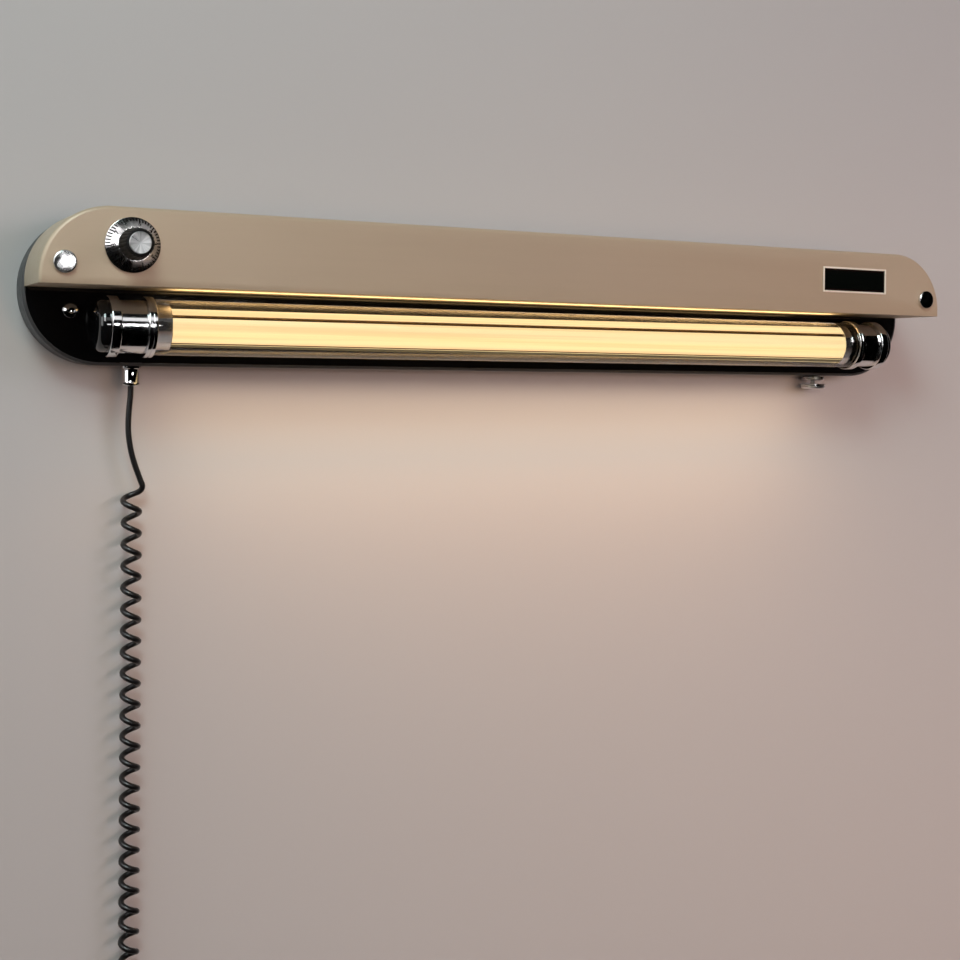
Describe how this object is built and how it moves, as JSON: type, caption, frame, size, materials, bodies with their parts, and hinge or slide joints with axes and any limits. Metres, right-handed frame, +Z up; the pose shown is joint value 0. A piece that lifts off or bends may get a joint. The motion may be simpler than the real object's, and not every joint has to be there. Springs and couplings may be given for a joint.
{
  "type": "wall light",
  "caption": "Long wall light with round ends, a hooded metal shell over a clear glowing tube, a rotary dimmer, a blank display, a push switch and a curly plug-in cord.",
  "frame": {"origin": "centre of the flat back face that lies on the wall", "axes": "+X along the light towards the display, +Z up the wall, +Y into the wall"},
  "size_m": [0.7998, 0.1027, 0.7502],
  "materials": {
    "tray_paint": "satin dark grey powder coat",
    "gloss_black": "polished black",
    "hood_champagne": "satin champagne metallic",
    "chrome": "polished",
    "dial_silver": "bright with black graduations",
    "insert_aluminium": "spun",
    "knob_black": "fluted satin",
    "shaft_steel": "zinc plated",
    "bezel_champagne": "satin",
    "display_black": "black glass",
    "clear_acrylic": "clear polished",
    "warm_diffuser": "lit from inside, warm white",
    "rod_brown": "dull",
    "board_green": "solder mask",
    "strip_white": "white",
    "driver_case": "moulded",
    "pin_brass": "bright",
    "rubber_black": "matt",
    "wire_red": "insulated wire",
    "wire_blue": "insulated wire",
    "switch_case": "moulded",
    "cord_black": "satin sheath",
    "plug_black": "moulded",
    "plug_nickel": "nickel plated"
  },
  "bodies": {
    "root": {"base_tray": "tray_paint", "face_plate": "gloss_black", "face_screws": "chrome", "driver_box": "driver_case", "terminal_block": "strip_white", "inlet_cable": "cord_black", "plate_grommets": "rubber_black", "hood": "hood_champagne", "hood_underside": "hood_champagne", "hood_posts": "shaft_steel", "hood_caps": "chrome", "dimmer_pot": "shaft_steel", "dimmer_nut": "shaft_steel", "dimmer_board": "board_green", "display_bezel": "bezel_champagne", "display_window": "display_black", "display_module": "board_green", "hood_wires": "wire_red", "clear_tube": "clear_acrylic", "diffuser": "warm_diffuser", "led_board": "strip_white", "core_rods": "rod_brown", "ferrules": "chrome", "tube_pins": "pin_brass", "tube_collars": "chrome", "holder_bodies": "chrome", "outer_flanges": "chrome", "end_domes": "gloss_black", "socket_inserts": "strip_white", "holder_feet": "gloss_black", "foot_screws": "shaft_steel", "tube_wires": "wire_blue", "switch_body": "switch_case", "switch_disc": "chrome", "switch_nut": "shaft_steel", "gland_locknut": "shaft_steel", "gland_body": "chrome", "gland_cap": "chrome", "gland_seal": "rubber_black", "cord_lead": "cord_black", "cord_curls": "cord_black", "cord_coil": "cord_black", "coil_tie": "rubber_black", "plug_boot": "rubber_black", "plug_body": "plug_black", "plug_pins": "plug_nickel"},
    "dial": {"dial_skirt": "dial_silver", "knob_body": "knob_black", "knob_insert": "insert_aluminium", "dimmer_shaft": "shaft_steel", "knob_screw": "shaft_steel"},
    "button": {"switch_button": "chrome"}
  },
  "joints": [
    {"name": "dial_turn", "type": "hinge", "parent": "root", "child": "dial", "pos_m": [-0.336, -0.079, 0.0279], "axis": [0, 1, 0], "range_deg": [-150, 150]},
    {"name": "switch_press", "type": "slide", "parent": "root", "child": "button", "axis": [0, 0, 1], "range_m": [0, 0.0025], "stiffness_N_per_m": 600, "springref_m": -0.001}
  ]
}
